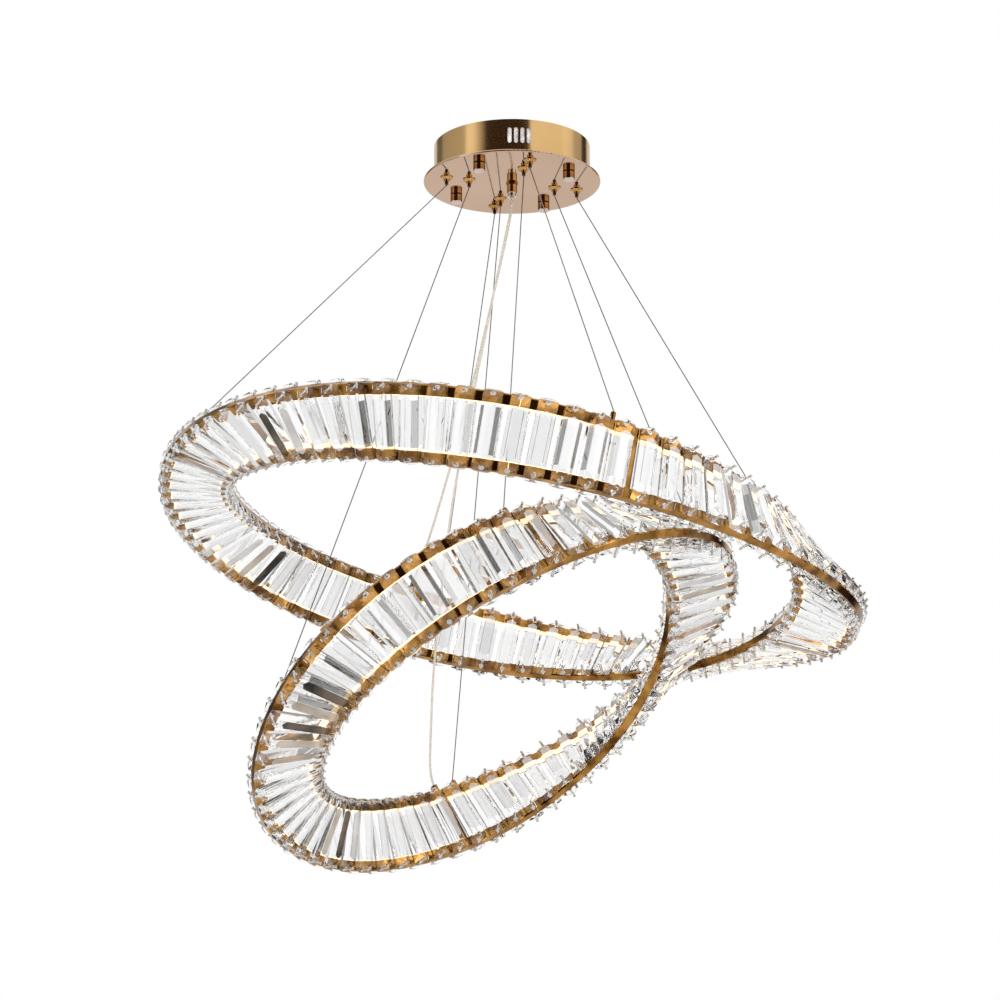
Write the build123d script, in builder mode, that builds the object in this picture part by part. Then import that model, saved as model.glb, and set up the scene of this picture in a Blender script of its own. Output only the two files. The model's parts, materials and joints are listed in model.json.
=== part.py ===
from build123d import *

from collections import namedtuple
from math import cos, degrees, pi, radians, sin, tan
import os

os.makedirs("parts", exist_ok=True)

# The frame: millimetres, +Z up, origin in the middle of the ceiling face.
# Seen from the front, +X is right and +Y is away.

# Clearances
RUN_CLEAR = 0.05        # radial, between parts that turn or slide in each other
HOLE_CLEAR = 0.2        # radial, around a stud or a screw in a plate
STRIP_CLEAR = 0.3       # around the LED strip in its channel
BAR_CLEAR = 0.3         # between a crystal bar's back and the twisted rail
SEAT_CLEAR = 0.1        # between an anchor or a cord entry and the twisted rail
WIRE_GAP = 0.8          # from a gripper's mouth or an anchor's top to the slanting wire's end

# Canopy
DRUM_RADIUS = 89.3
DRUM_HEIGHT = 40.0
DRUM_WALL = 1.2
PLATE_RADIUS = 101.0
PLATE_THICK = 3.0
PLATE_EDGE = 1.2        # rounding of the plate's rim
VENT_COUNT = 4
VENT_WIDTH = 4.6
VENT_HEIGHT = 18.5
VENT_PITCH = 7.2
VENT_RISE = 21.0        # above the plate
VENT_AZIMUTH = -85.0

# Ceiling bracket and its studs
BRACKET_RADIUS = 82.0
BRACKET_THICK = 2.0
BRACKET_OPENING = 15.0  # radius of the hole for the mains lead
CEILING_HOLE_CIRCLE = 62.0
CEILING_HOLE_RADIUS = 2.75
STUD_CIRCLE = 74.0
STUD_RADIUS = 3.0
STUD_COUNT = 4
STUD_AZIMUTH = 60.0
STUD_BITE = 7.0         # how far a stud reaches into its cap nut
CAP_NUT_RADIUS = 6.8
CAP_NUT_HEIGHT = 10.0
CAP_NUT_DOME = 1.4
CAP_NUT_RIM = 0.8       # chamfer against the plate
CAP_NUT_ROOM = 0.6      # free bore above the stud's end

# Wire grippers
CROSS_AZIMUTH = -75.0   # direction of the near pair of grippers
SPOKES = 4
OUTER_CIRCLE = 77.0
INNER_CIRCLE = 50.5
GRIP_THREAD = 4.0
GRIP_THREAD_RISE = 13.0 # above the plate
GRIP_COLLAR = 7.2
GRIP_COLLAR_RIM = 0.9
GRIP_COLLAR_SLOPE = 2.1
GRIP_STEM = 3.4
GRIP_STEM_LENGTH = 2.5
GRIP_LIP = 1.5          # thickness of the lip that keeps the plunger in
CHAMBER_RADIUS = 2.75
CHAMBER_LENGTH = 15.0
PLUNGER_TIP = 2.0
PLUNGER_TIP_REACH = 3.7 # below the stem
PLUNGER_HEAD_LENGTH = 3.0
SPRING_OUTER = 2.5
SPRING_INNER = 1.2
GRIP_NUT_FLATS = 12.0
GRIP_NUT_THICK = 4.0
WIRE_RADIUS = 0.6
WIRE_TAIL_RISE = 6.0    # above the gripper's thread

# Cord gland and cords
GLAND_THREAD = 4.6
GLAND_THREAD_RISE = 8.0
GLAND_BORE = 3.0
GLAND_FLANGE_FLATS = 11.6
GLAND_FLANGE_THICK = 2.0
GLAND_NOSE = 3.9
GLAND_NOSE_LENGTH = 6.0
GLAND_NUT_RADIUS = 5.8
GLAND_NUT_HEIGHT = 10.0
GLAND_NUT_CHAMFER = 0.7
GLAND_TIP_RADIUS = 4.8
GLAND_TIP_LENGTH = 4.0
GLAND_NUT_GAP = 0.3
GLAND_LOCKNUT_THICK = 4.0
CORD_RADIUS = 1.3
CORD_SPACING = 2.9
CORD_GAP = 0.6          # between the gland's mouth and the free cords
CORD_HOLD = 4.0         # length of cord inside the entry on a ring

# Drivers, terminal block and screws
DRIVER_LENGTH = 80.0
DRIVER_WIDTH = 30.0
DRIVER_HEIGHT = 15.0
DRIVER_SPACING = 31.0
DRIVER_EAR = 8.0
DRIVER_EAR_THICK = 3.0
DRIVER_CORNER = 2.0
SCREW_RADIUS = 1.7
SCREW_HEAD = 3.5
SCREW_HEAD_THICK = 2.2
CEILING_GAP = 0.2       # screw ends stay this far below the ceiling
EARTH_PLACE = (0.0, -56.0)
TERMINAL_SIZE = (28.0, 16.0, 13.0)
TERMINAL_PLACE = (0.0, 30.0)
TERMINAL_HOLE = 2.4
TERMINAL_POLES = 3
TERMINAL_PITCH = 8.0

# Ring bands: two rails that turn once round each other on the way round the ring
RAIL_SPACING = 68.0
RAIL_WIDTH = 11.5       # along the band
RAIL_THICK = 10.0       # across the band
RAIL_WALL = 1.8
RAIL_CHAMFER = 1.4
STRIP_PROUD = 1.2       # out of the rail's lips
POST_LENGTH_ALONG = 6.0
RAIL_SEGMENTS = 12      # bent pieces in each rail
SECTIONS_PER_SEGMENT = 5
SEGMENT_GAP = 0.3       # joint line between two pieces of rail

# Crystal bars
BAR_LENGTH = 83.0
BAR_WIDTH = 20.2
BAR_THICK = 10.0
BAR_GIRDLE = 4.0        # height of the upright sides
TABLE_WIDTH = 12.0
TABLE_TIP = 7.0         # from the bar's end to the table's tip
TABLE_SHOULDER = 10.5   # from the bar's end to the table's shoulders
PIN_OUTSET = 2.9        # from the rail's middle towards the bar's end
PIN_SHANK = 1.2
PIN_BITE = 1.2
PIN_COLLAR = 2.4
PIN_NECK = 1.3
PIN_HOLE = 1.5
PIN_HEAD = 1.8
PIN_HEAD_THICK = 1.0
PIN_HEAD_LIFT = 11.0    # head's underside above the bar's back

# Anchors for the wires and entries for the cords
ANCHOR_RADIUS = 2.75
ANCHOR_HEIGHT = 9.0
ANCHOR_DOME = 1.2
ENTRY_RADIUS = 3.8
ENTRY_HEIGHT = 8.0
ENTRY_ANGLE = 186.0
ENTRY_APPROACH = 12.0   # straight cord above the entry

# Where the rings hang: centre, lean of the ring's axis and the side that it leans to,
# and the azimuth of the place where rail A is on top
Ring = namedtuple("Ring", "name radius bars centre lean lean_azimuth top_azimuth grip_circle")
LARGE = Ring("large", 355.0, 84, (-2.0, 0.0, -475.2), 12.3, 25.0, -75.3, OUTER_CIRCLE)
SMALL = Ring("small", 257.0, 64, (-16.0, 0.0, -627.2), 34.4, 147.2, -71.8, INNER_CIRCLE)
RINGS = (LARGE, SMALL)

# Levels
PLATE_TOP = -DRUM_HEIGHT
PLATE_BOTTOM = PLATE_TOP - PLATE_THICK
COLLAR_BOTTOM = PLATE_BOTTOM - GRIP_COLLAR_RIM - GRIP_COLLAR_SLOPE
STEM_BOTTOM = COLLAR_BOTTOM - GRIP_STEM_LENGTH
CHAMBER_BOTTOM = STEM_BOTTOM + GRIP_LIP
CHAMBER_TOP = CHAMBER_BOTTOM + CHAMBER_LENGTH
PLUNGER_BOTTOM = STEM_BOTTOM - PLUNGER_TIP_REACH
GRIP_TOP = PLATE_TOP + GRIP_THREAD_RISE
WIRE_BORE = WIRE_RADIUS + HOLE_CLEAR
GLAND_TOP = PLATE_TOP + GLAND_THREAD_RISE
GLAND_NUT_TOP = PLATE_BOTTOM - GLAND_FLANGE_THICK - GLAND_NUT_GAP
GLAND_MOUTH = GLAND_NUT_TOP - GLAND_NUT_HEIGHT - GLAND_TIP_LENGTH
DRIVER_TOP = -BRACKET_THICK
DRIVER_BOTTOM = DRIVER_TOP - DRIVER_HEIGHT

# Routes of the free cords below the gland, as seen in the photograph
LARGE_CORD_ROUTE = [
    (-5.0, 20.0, -96.0),
    (-45.0, 147.0, -235.0),
    (-73.0, 222.0, -319.5),
    (-99.0, 282.0, -392.2),
]
SMALL_CORD_ROUTE = [
    (-6.0, 8.0, -96.0),
    (-41.0, 66.0, -257.0),
    (-62.0, 103.0, -351.5),
    (-76.0, 133.0, -438.2),
    (-91.0, 182.0, -571.2),
    (-94.0, 208.0, -643.2),
]
GLAND_DROP = 11.0       # straight cord below the gland
BEND_SHARE = 0.45       # of the shorter run beside a bend, taken by its arc


def hand_in(piece, node):
    """Name a finished piece and write it out."""
    piece.part.label = node
    export_step(piece.part, f"parts/{node}.step")


def polar(radius, azimuth, z=0.0):
    """A point at a radius and an azimuth in degrees."""
    return (radius * cos(radians(azimuth)), radius * sin(radians(azimuth)), z)


def ring_axes(ring):
    """The ring's own axes: to the place where rail A is on top, a quarter turn on, and its normal."""
    lean = radians(ring.lean)
    heading = radians(ring.lean_azimuth)
    normal = Vector(sin(lean) * cos(heading), sin(lean) * sin(heading), cos(lean))
    aim = Vector(*polar(1.0, ring.top_azimuth))
    first = (aim - normal * aim.dot(normal)).normalized()
    return first, normal.cross(first), normal


def band_axes(ring, angle):
    """Band centre, direction of travel, direction from rail B to rail A, and the front's normal."""
    first, second, normal = ring_axes(ring)
    turn = radians(angle)
    outward = first * cos(turn) + second * sin(turn)
    travel = second * cos(turn) - first * sin(turn)
    centre = Vector(*ring.centre) + outward * ring.radius
    across = normal * cos(turn) - outward * sin(turn)
    front = outward * cos(turn) + normal * sin(turn)
    return centre, travel, across, front


def section_plane(ring, angle, side):
    """Plane through a rail: x towards the front face, y away from the other rail."""
    centre, travel, across, front = band_axes(ring, angle)
    away = across * side
    return Plane(origin=centre + away * (RAIL_SPACING / 2), x_dir=front, z_dir=front.cross(away))


def face_plane(ring, angle, side):
    """Plane on one face of the band, where the crystal bars' backs lie; y runs along the bar."""
    centre, travel, across, front = band_axes(ring, angle)
    outward = front * side
    lift = RAIL_THICK / 2 + bar_standoff(ring)
    return Plane(origin=centre + outward * lift, x_dir=travel * side, z_dir=outward)


def bar_standoff(ring):
    """Room behind a flat bar for the twist and the bend of the rails under it."""
    reach = RAIL_SPACING / 2 + RAIL_WIDTH / 2
    twist_rise = reach * (BAR_WIDTH / 2) / ring.radius
    bend_rise = BAR_WIDTH ** 2 / (8 * ring.radius)
    return twist_rise + bend_rise + BAR_CLEAR


def anchor_plane(ring, spoke):
    """Plane on the upper side of the upper or outer rail at a quarter of the ring."""
    first, second, normal = ring_axes(ring)
    turn = radians(90.0 * spoke)
    outward = first * cos(turn) + second * sin(turn)
    on_edge = spoke % 2 == 0
    out = ring.radius + (0 if on_edge else RAIL_SPACING / 2)
    twist_rise = (RAIL_SPACING / 2) * ANCHOR_RADIUS / ring.radius
    up = (RAIL_SPACING / 2 + RAIL_WIDTH / 2) if on_edge else (RAIL_THICK / 2 + twist_rise)
    seat = Vector(*ring.centre) + outward * out + normal * (up + SEAT_CLEAR)
    return Plane(origin=seat, x_dir=first, z_dir=normal)


def entry_plane(ring):
    """Plane on the outer edge of rail B where the cord goes in."""
    centre, travel, across, front = band_axes(ring, ENTRY_ANGLE)
    reach = RAIL_SPACING / 2 + RAIL_WIDTH / 2 + SEAT_CLEAR
    return Plane(origin=centre - across * reach, x_dir=travel, z_dir=-across)


def segment_angles(ring, segment):
    """Angles of the sections through one bent piece of rail, with a joint line at each end."""
    pitch = 360.0 / RAIL_SEGMENTS
    span = pitch - degrees(SEGMENT_GAP / ring.radius)
    start = pitch * segment - span / 2
    return [start + span * step / SECTIONS_PER_SEGMENT for step in range(SECTIONS_PER_SEGMENT + 1)]


def grip_places(circle):
    """Middles of four grippers, one for each quarter of a ring."""
    return [polar(circle, CROSS_AZIMUTH + 90.0 * spoke) for spoke in range(SPOKES)]


def bend_radii(points):
    """Fillet radius at each inner point of a route, from its runs and turns."""
    radii = []
    for before, here, after in zip(points, points[1:], points[2:]):
        run_in = Vector(*here) - Vector(*before)
        run_out = Vector(*after) - Vector(*here)
        half_turn = radians(run_in.get_angle(run_out)) / 2
        radii.append(BEND_SHARE * min(run_in.length, run_out.length) / tan(half_turn))
    return radii


def route_wire(points):
    """Straight runs joined by tangent arcs."""
    radii = bend_radii(points)
    print("cord bend radii", [round(radius) for radius in radii])
    return FilletPolyline(*points, radius=radii)


ALL_GRIPS = grip_places(OUTER_CIRCLE) + grip_places(INNER_CIRCLE)
STUD_PLACES = [polar(STUD_CIRCLE, STUD_AZIMUTH + 90.0 * i) for i in range(STUD_COUNT)]
DRIVER_SCREWS = [
    (end * (DRIVER_LENGTH + DRIVER_EAR) / 2, row * DRIVER_SPACING / 2)
    for row in (-1, 1)
    for end in (-1, 1)
]

# Ceiling bracket: a round plate with holes for the ceiling screws, the studs and the drivers
with BuildPart() as ceiling_bracket:
    with BuildSketch(Plane.XY.offset(-BRACKET_THICK)):
        Circle(BRACKET_RADIUS)
        Circle(BRACKET_OPENING, mode=Mode.SUBTRACT)
        with PolarLocations(CEILING_HOLE_CIRCLE, STUD_COUNT, start_angle=STUD_AZIMUTH):
            Circle(CEILING_HOLE_RADIUS, mode=Mode.SUBTRACT)
        with Locations(*DRIVER_SCREWS, EARTH_PLACE):
            Circle(SCREW_RADIUS + RUN_CLEAR, mode=Mode.SUBTRACT)
    extrude(amount=BRACKET_THICK)
hand_in(ceiling_bracket, "ceiling_bracket")

# Threaded studs from the bracket down through the plate
with BuildPart() as bracket_studs:
    with BuildSketch(Plane.XY.offset(-BRACKET_THICK)):
        with Locations(*STUD_PLACES):
            Circle(STUD_RADIUS)
    extrude(amount=PLATE_BOTTOM - STUD_BITE + BRACKET_THICK)
hand_in(bracket_studs, "bracket_studs")

# Canopy drum with its four upright vent slots
with BuildPart() as canopy_drum:
    with BuildSketch(Plane.XY.offset(PLATE_TOP)):
        Circle(DRUM_RADIUS)
        Circle(DRUM_RADIUS - DRUM_WALL, mode=Mode.SUBTRACT)
    extrude(amount=DRUM_HEIGHT)
    vent_facing = Vector(*polar(1.0, VENT_AZIMUTH))
    with BuildSketch(
        Plane(origin=(0, 0, PLATE_TOP + VENT_RISE), x_dir=(0, 0, 1), z_dir=vent_facing)
    ):
        with GridLocations(0, VENT_PITCH, 1, VENT_COUNT):
            SlotOverall(VENT_HEIGHT, VENT_WIDTH)
    extrude(amount=DRUM_RADIUS + DRUM_WALL, mode=Mode.SUBTRACT)
hand_in(canopy_drum, "canopy_drum")

# Canopy plate with its holes
with BuildPart() as canopy_plate:
    with BuildSketch(Plane.XY.offset(PLATE_BOTTOM)):
        Circle(PLATE_RADIUS)
        with Locations(*STUD_PLACES):
            Circle(STUD_RADIUS + HOLE_CLEAR, mode=Mode.SUBTRACT)
        with Locations(*ALL_GRIPS):
            Circle(GRIP_THREAD + HOLE_CLEAR, mode=Mode.SUBTRACT)
        Circle(GLAND_THREAD + HOLE_CLEAR, mode=Mode.SUBTRACT)
    extrude(amount=PLATE_THICK)
    rim_edges = canopy_plate.edges().filter_by(GeomType.CIRCLE).sort_by(lambda edge: edge.radius)
    fillet(rim_edges[-2:], radius=PLATE_EDGE)
hand_in(canopy_plate, "canopy_plate")

# Cap nuts under the plate
for number, place in enumerate(STUD_PLACES, start=1):
    with BuildPart() as cap_nut:
        with BuildSketch(Plane(origin=(place[0], place[1], PLATE_BOTTOM), z_dir=(0, 0, -1))):
            Circle(CAP_NUT_RADIUS)
        extrude(amount=CAP_NUT_HEIGHT)
        fillet(cap_nut.edges().sort_by(Axis.Z)[0], radius=CAP_NUT_DOME)
        chamfer(cap_nut.edges().sort_by(Axis.Z)[-1], length=CAP_NUT_RIM)
        with BuildSketch(Plane(origin=(place[0], place[1], PLATE_BOTTOM), z_dir=(0, 0, -1))):
            Circle(STUD_RADIUS + RUN_CLEAR)
        extrude(amount=STUD_BITE + CAP_NUT_ROOM, mode=Mode.SUBTRACT)
    hand_in(cap_nut, f"cap_nut_{number}")

# One gripper body, turned about its own axis, then set in all eight places
with BuildPart() as gripper_body:
    with BuildSketch(Plane.XZ):
        with BuildLine():
            Polyline(
                (WIRE_BORE, GRIP_TOP),
                (GRIP_THREAD, GRIP_TOP),
                (GRIP_THREAD, PLATE_BOTTOM),
                (GRIP_COLLAR, PLATE_BOTTOM),
                (GRIP_COLLAR, PLATE_BOTTOM - GRIP_COLLAR_RIM),
                (GRIP_STEM, COLLAR_BOTTOM),
                (GRIP_STEM, STEM_BOTTOM),
                (PLUNGER_TIP + RUN_CLEAR, STEM_BOTTOM),
                (PLUNGER_TIP + RUN_CLEAR, CHAMBER_BOTTOM),
                (CHAMBER_RADIUS, CHAMBER_BOTTOM),
                (CHAMBER_RADIUS, CHAMBER_TOP),
                (WIRE_BORE, CHAMBER_TOP),
                close=True,
            )
        make_face()
    revolve(axis=Axis.Z)

with BuildPart() as gripper_bodies:
    with Locations(*ALL_GRIPS):
        add(gripper_body.part)
hand_in(gripper_bodies, "gripper_bodies")

with BuildPart() as gripper_locknuts:
    with BuildSketch(Plane.XY.offset(PLATE_TOP)):
        with Locations(*ALL_GRIPS):
            RegularPolygon(GRIP_NUT_FLATS / 2, 6, major_radius=False)
            Circle(GRIP_THREAD + RUN_CLEAR, mode=Mode.SUBTRACT)
    extrude(amount=GRIP_NUT_THICK)
hand_in(gripper_locknuts, "gripper_locknuts")

# Release plungers and the springs above them
for number, place in enumerate(ALL_GRIPS, start=1):
    head_top = CHAMBER_BOTTOM + PLUNGER_HEAD_LENGTH
    with BuildPart() as plunger:
        with BuildSketch(Plane(origin=(place[0], place[1], PLUNGER_BOTTOM))):
            Circle(PLUNGER_TIP)
        extrude(amount=CHAMBER_BOTTOM - PLUNGER_BOTTOM)
        with BuildSketch(Plane(origin=(place[0], place[1], CHAMBER_BOTTOM))):
            Circle(CHAMBER_RADIUS - RUN_CLEAR)
        extrude(amount=PLUNGER_HEAD_LENGTH)
        with BuildSketch(Plane(origin=(place[0], place[1], PLUNGER_BOTTOM))):
            Circle(WIRE_BORE)
        extrude(amount=head_top - PLUNGER_BOTTOM, mode=Mode.SUBTRACT)
    hand_in(plunger, f"gripper_plunger_{number}")
    with BuildPart() as spring:
        with BuildSketch(Plane(origin=(place[0], place[1], head_top))):
            Circle(SPRING_OUTER)
            Circle(SPRING_INNER, mode=Mode.SUBTRACT)
        extrude(amount=CHAMBER_TOP - head_top)
    hand_in(spring, f"gripper_spring_{number}")

# Wire ends that pass up through the grippers into the canopy
with BuildPart() as wire_tails:
    with BuildSketch(Plane.XY.offset(PLUNGER_BOTTOM)):
        with Locations(*ALL_GRIPS):
            Circle(WIRE_RADIUS)
    extrude(amount=GRIP_TOP + WIRE_TAIL_RISE - PLUNGER_BOTTOM)
hand_in(wire_tails, "wire_tails")

# Cord gland: threaded body with a hexagon flange and a nose for the gland nut
with BuildPart() as cord_gland_body:
    with BuildSketch(Plane.XY.offset(PLATE_BOTTOM)):
        Circle(GLAND_THREAD)
    extrude(amount=GLAND_TOP - PLATE_BOTTOM)
    with BuildSketch(Plane.XY.offset(PLATE_BOTTOM - GLAND_FLANGE_THICK)):
        RegularPolygon(GLAND_FLANGE_FLATS / 2, 6, major_radius=False)
    extrude(amount=GLAND_FLANGE_THICK)
    with BuildSketch(Plane.XY.offset(PLATE_BOTTOM - GLAND_FLANGE_THICK)):
        Circle(GLAND_NOSE)
    extrude(amount=-GLAND_NOSE_LENGTH)
    with BuildSketch(Plane.XY.offset(GLAND_TOP)):
        Circle(GLAND_BORE)
    extrude(amount=GLAND_MOUTH - GLAND_TOP, mode=Mode.SUBTRACT)
hand_in(cord_gland_body, "cord_gland_body")

with BuildPart() as cord_gland_locknut:
    with BuildSketch(Plane.XY.offset(PLATE_TOP)):
        RegularPolygon(GLAND_FLANGE_FLATS / 2, 6, major_radius=False)
        Circle(GLAND_THREAD + RUN_CLEAR, mode=Mode.SUBTRACT)
    extrude(amount=GLAND_LOCKNUT_THICK)
hand_in(cord_gland_locknut, "cord_gland_locknut")

with BuildPart() as cord_gland_nut:
    with BuildSketch(Plane.XY.offset(GLAND_NUT_TOP)):
        Circle(GLAND_NUT_RADIUS)
    extrude(amount=-GLAND_NUT_HEIGHT)
    chamfer(cord_gland_nut.edges().sort_by(Axis.Z)[0], length=GLAND_NUT_CHAMFER)
    with BuildSketch(Plane.XY.offset(GLAND_NUT_TOP - GLAND_NUT_HEIGHT)):
        Circle(GLAND_TIP_RADIUS)
    extrude(amount=-GLAND_TIP_LENGTH)
    with BuildSketch(Plane.XY.offset(GLAND_NUT_TOP)):
        Circle(GLAND_NOSE + RUN_CLEAR)
    extrude(amount=-GLAND_NOSE_LENGTH, mode=Mode.SUBTRACT)
    with BuildSketch(Plane.XY.offset(GLAND_NUT_TOP)):
        Circle(GLAND_BORE)
    extrude(amount=GLAND_MOUTH - GLAND_NUT_TOP, mode=Mode.SUBTRACT)
hand_in(cord_gland_nut, "cord_gland_nut")

# LED drivers, one for each ring, screwed up to the bracket by their ears
for row, ring in zip((-1, 1), RINGS):
    with BuildPart() as led_driver:
        with BuildSketch(Plane(origin=(0, row * DRIVER_SPACING / 2, DRIVER_BOTTOM))):
            RectangleRounded(DRIVER_LENGTH, DRIVER_WIDTH, DRIVER_CORNER)
        extrude(amount=DRIVER_HEIGHT)
        with BuildSketch(Plane(origin=(0, row * DRIVER_SPACING / 2, DRIVER_TOP))):
            RectangleRounded(DRIVER_LENGTH + 2 * DRIVER_EAR, DRIVER_WIDTH, DRIVER_CORNER)
            with GridLocations(DRIVER_LENGTH + DRIVER_EAR, 0, 2, 1):
                Circle(SCREW_RADIUS + HOLE_CLEAR, mode=Mode.SUBTRACT)
        extrude(amount=-DRIVER_EAR_THICK)
    hand_in(led_driver, f"led_driver_{ring.name}")

with BuildPart() as driver_screws:
    with BuildSketch(Plane.XY.offset(-CEILING_GAP)):
        with Locations(*DRIVER_SCREWS):
            Circle(SCREW_RADIUS)
    extrude(amount=CEILING_GAP - BRACKET_THICK - DRIVER_EAR_THICK)
    with BuildSketch(Plane.XY.offset(DRIVER_TOP - DRIVER_EAR_THICK)):
        with Locations(*DRIVER_SCREWS):
            Circle(SCREW_HEAD)
    extrude(amount=-SCREW_HEAD_THICK)
hand_in(driver_screws, "driver_screws")

with BuildPart() as earth_screw:
    with BuildSketch(Plane(origin=(*EARTH_PLACE, -CEILING_GAP))):
        Circle(SCREW_RADIUS)
    extrude(amount=CEILING_GAP - BRACKET_THICK)
    with BuildSketch(Plane(origin=(*EARTH_PLACE, -BRACKET_THICK))):
        Circle(SCREW_HEAD)
    extrude(amount=-SCREW_HEAD_THICK)
hand_in(earth_screw, "earth_screw")

# Terminal block for the mains lead, with a wire hole through each pole
with BuildPart() as terminal_block:
    with BuildSketch(Plane(origin=(*TERMINAL_PLACE, PLATE_TOP))):
        Rectangle(TERMINAL_SIZE[0], TERMINAL_SIZE[1])
    extrude(amount=TERMINAL_SIZE[2])
    pole_face = Plane(
        origin=(TERMINAL_PLACE[0], TERMINAL_PLACE[1], PLATE_TOP + TERMINAL_SIZE[2] / 2),
        x_dir=(1, 0, 0),
        z_dir=(0, 1, 0),
    )
    with BuildSketch(pole_face):
        with GridLocations(TERMINAL_PITCH, 0, TERMINAL_POLES, 1):
            Circle(TERMINAL_HOLE)
    extrude(amount=TERMINAL_SIZE[1], both=True, mode=Mode.SUBTRACT)
hand_in(terminal_block, "terminal_block")

# Cord ends from the gland's mouth straight up to the drivers
with BuildPart() as cord_tails:
    with BuildSketch(Plane.XY.offset(GLAND_MOUTH)):
        with GridLocations(0, CORD_SPACING, 1, 2):
            Circle(CORD_RADIUS)
    extrude(amount=DRIVER_BOTTOM - GLAND_MOUTH)
hand_in(cord_tails, "cord_tails")

# One crystal bar: upright girdle, sloping sides, two facets at each end and a hole for each pin
with BuildPart() as crystal_bar:
    with BuildSketch():
        Rectangle(BAR_WIDTH, BAR_LENGTH)
    extrude(amount=BAR_THICK)
    for side in (-1, 1):
        side_slope = Plane(
            origin=(side * BAR_WIDTH / 2, 0, BAR_GIRDLE),
            x_dir=(0, 1, 0),
            z_dir=(side * (BAR_THICK - BAR_GIRDLE), 0, (BAR_WIDTH - TABLE_WIDTH) / 2),
        )
        split(bisect_by=side_slope, keep=Keep.BOTTOM)
    for end in (-1, 1):
        for side in (-1, 1):
            foot = Vector(0, end * BAR_LENGTH / 2, BAR_GIRDLE)
            tip = Vector(0, end * (BAR_LENGTH / 2 - TABLE_TIP), BAR_THICK)
            shoulder = Vector(
                side * TABLE_WIDTH / 2, end * (BAR_LENGTH / 2 - TABLE_SHOULDER), BAR_THICK
            )
            outward = (tip - foot).cross(shoulder - foot) * (side * end)
            split(bisect_by=Plane(origin=foot, x_dir=tip - foot, z_dir=outward), keep=Keep.BOTTOM)
    with BuildSketch():
        with GridLocations(0, RAIL_SPACING + 2 * PIN_OUTSET, 1, 2):
            Circle(PIN_HOLE)
    extrude(amount=BAR_THICK, mode=Mode.SUBTRACT)

# One wire anchor: a barrel with a rounded top
with BuildPart() as anchor:
    with BuildSketch():
        Circle(ANCHOR_RADIUS)
    extrude(amount=ANCHOR_HEIGHT)
    fillet(anchor.edges().sort_by(Axis.Z)[-1], radius=ANCHOR_DOME)

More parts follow.
